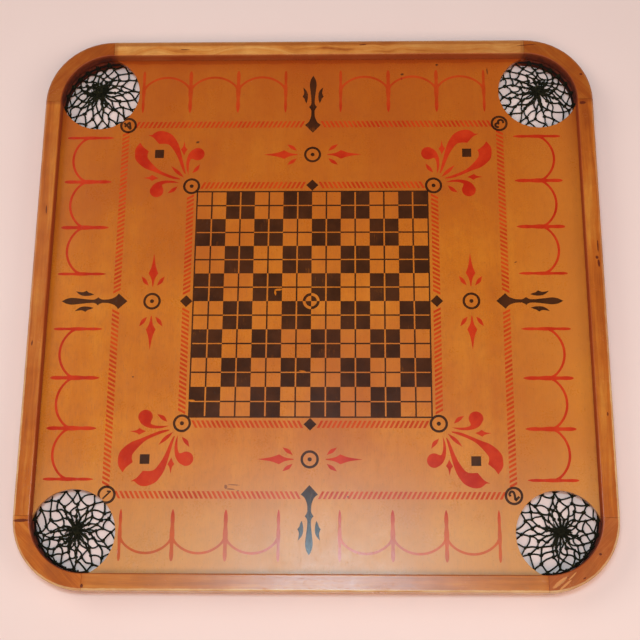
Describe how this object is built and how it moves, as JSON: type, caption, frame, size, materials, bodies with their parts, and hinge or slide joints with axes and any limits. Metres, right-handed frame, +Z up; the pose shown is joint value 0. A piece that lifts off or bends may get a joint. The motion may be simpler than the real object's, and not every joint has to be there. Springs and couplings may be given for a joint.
{
  "type": "carrom board",
  "caption": "Square wooden carrom board: a printed game panel in a raised, round-cornered rim, with a knotted string net pocket at each corner.",
  "frame": {"origin": "centre of the rim's underside, in the plane the board stands on", "axes": "+Z up towards the play side; +X to the right and +Y away, for a player at the front rail"},
  "size_m": [0.728, 0.728, 0.036],
  "materials": {
    "panel_veneer": "worn satin varnish",
    "rail_wood": "worn gloss varnish",
    "corner_wood": "worn gloss varnish",
    "spline_wood": "bare",
    "net_string": "twisted cotton string",
    "hoop_wire": "tarnished",
    "fastener_steel": "tarnished",
    "ink_red": "worn printed ink",
    "ink_black": "worn printed ink"
  },
  "bodies": {
    "root": {"game_panel": "panel_veneer", "rail_front": "rail_wood", "spline_front_a": "spline_wood", "brad_front_a1": "fastener_steel", "brad_front_a2": "fastener_steel", "spline_front_b": "spline_wood", "brad_front_b1": "fastener_steel", "brad_front_b2": "fastener_steel", "corner_block_front_right": "corner_wood", "net_hoop_front_right": "hoop_wire", "hoop_nail_front_right": "fastener_steel", "hoop_staple_front_right_1": "fastener_steel", "hoop_staple_front_right_2": "fastener_steel", "hoop_staple_front_right_3": "fastener_steel", "pocket_net_front_right": "net_string", "rail_right": "rail_wood", "spline_right_a": "spline_wood", "brad_right_a1": "fastener_steel", "brad_right_a2": "fastener_steel", "spline_right_b": "spline_wood", "brad_right_b1": "fastener_steel", "brad_right_b2": "fastener_steel", "corner_block_back_right": "corner_wood", "net_hoop_back_right": "hoop_wire", "hoop_nail_back_right": "fastener_steel", "hoop_staple_back_right_1": "fastener_steel", "hoop_staple_back_right_2": "fastener_steel", "hoop_staple_back_right_3": "fastener_steel", "pocket_net_back_right": "net_string", "rail_back": "rail_wood", "spline_back_a": "spline_wood", "brad_back_a1": "fastener_steel", "brad_back_a2": "fastener_steel", "spline_back_b": "spline_wood", "brad_back_b1": "fastener_steel", "brad_back_b2": "fastener_steel", "corner_block_back_left": "corner_wood", "net_hoop_back_left": "hoop_wire", "hoop_nail_back_left": "fastener_steel", "hoop_staple_back_left_1": "fastener_steel", "hoop_staple_back_left_2": "fastener_steel", "hoop_staple_back_left_3": "fastener_steel", "pocket_net_back_left": "net_string", "rail_left": "rail_wood", "spline_left_a": "spline_wood", "brad_left_a1": "fastener_steel", "brad_left_a2": "fastener_steel", "spline_left_b": "spline_wood", "brad_left_b1": "fastener_steel", "brad_left_b2": "fastener_steel", "corner_block_front_left": "corner_wood", "net_hoop_front_left": "hoop_wire", "hoop_nail_front_left": "fastener_steel", "hoop_staple_front_left_1": "fastener_steel", "hoop_staple_front_left_2": "fastener_steel", "hoop_staple_front_left_3": "fastener_steel", "pocket_net_front_left": "net_string"}
  },
  "joints": []
}
